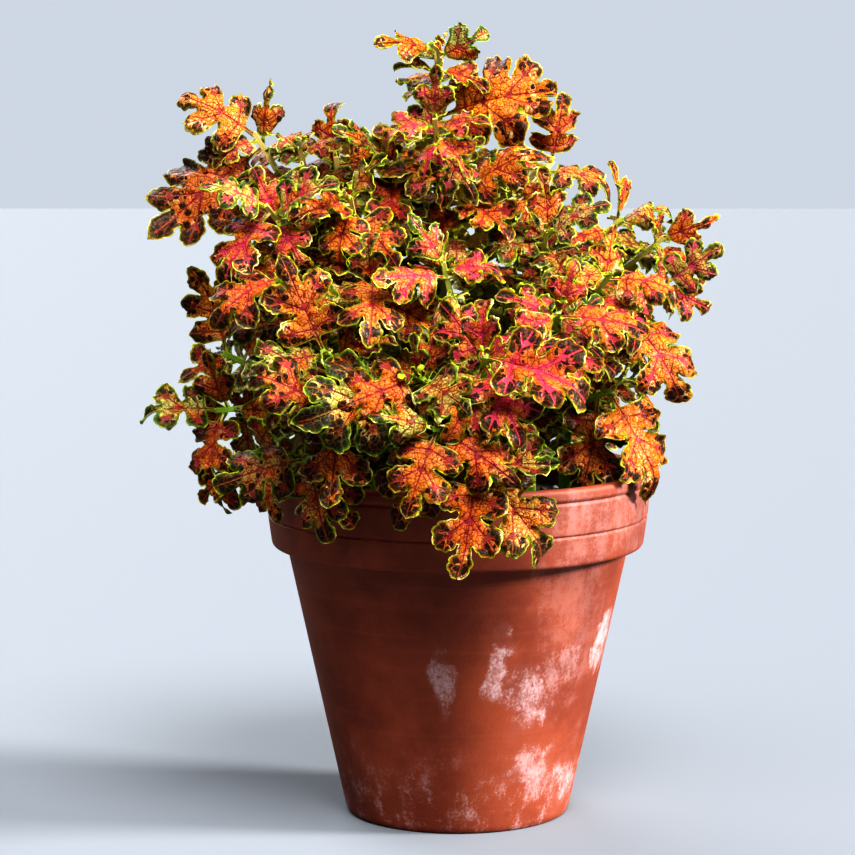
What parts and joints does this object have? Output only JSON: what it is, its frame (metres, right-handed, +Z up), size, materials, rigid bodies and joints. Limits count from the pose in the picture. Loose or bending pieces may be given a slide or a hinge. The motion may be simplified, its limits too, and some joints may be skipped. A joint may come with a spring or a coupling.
{
  "type": "potted coleus plant",
  "caption": "Bushy foliage plant with lobed leaves on branching square stems, in a tapered round clay pot with a deep banded rim.",
  "frame": {"origin": "centre of the flat foot under the pot", "axes": "+Z up along the pot's axis, -Y towards the front of the plant, +X to the right of someone who looks at its front"},
  "size_m": [0.2943, 0.2989, 0.4074],
  "materials": {
    "fired_clay": "matt, unglazed",
    "potting_soil": "rough, crumbly",
    "coleus_leaf_and_stem": "soft satin, veined"
  },
  "bodies": {
    "root": {"clay_pot": "fired_clay", "potting_soil": "potting_soil", "leafy_stem_top": "coleus_leaf_and_stem", "leafy_stem_upper_left": "coleus_leaf_and_stem", "leafy_stem_left": "coleus_leaf_and_stem", "leafy_stem_front_left": "coleus_leaf_and_stem", "leafy_stem_front": "coleus_leaf_and_stem", "leafy_stem_right": "coleus_leaf_and_stem", "leafy_stem_upper_right": "coleus_leaf_and_stem", "leafy_stem_back_left": "coleus_leaf_and_stem", "leafy_stem_back_right": "coleus_leaf_and_stem"}
  },
  "joints": []
}
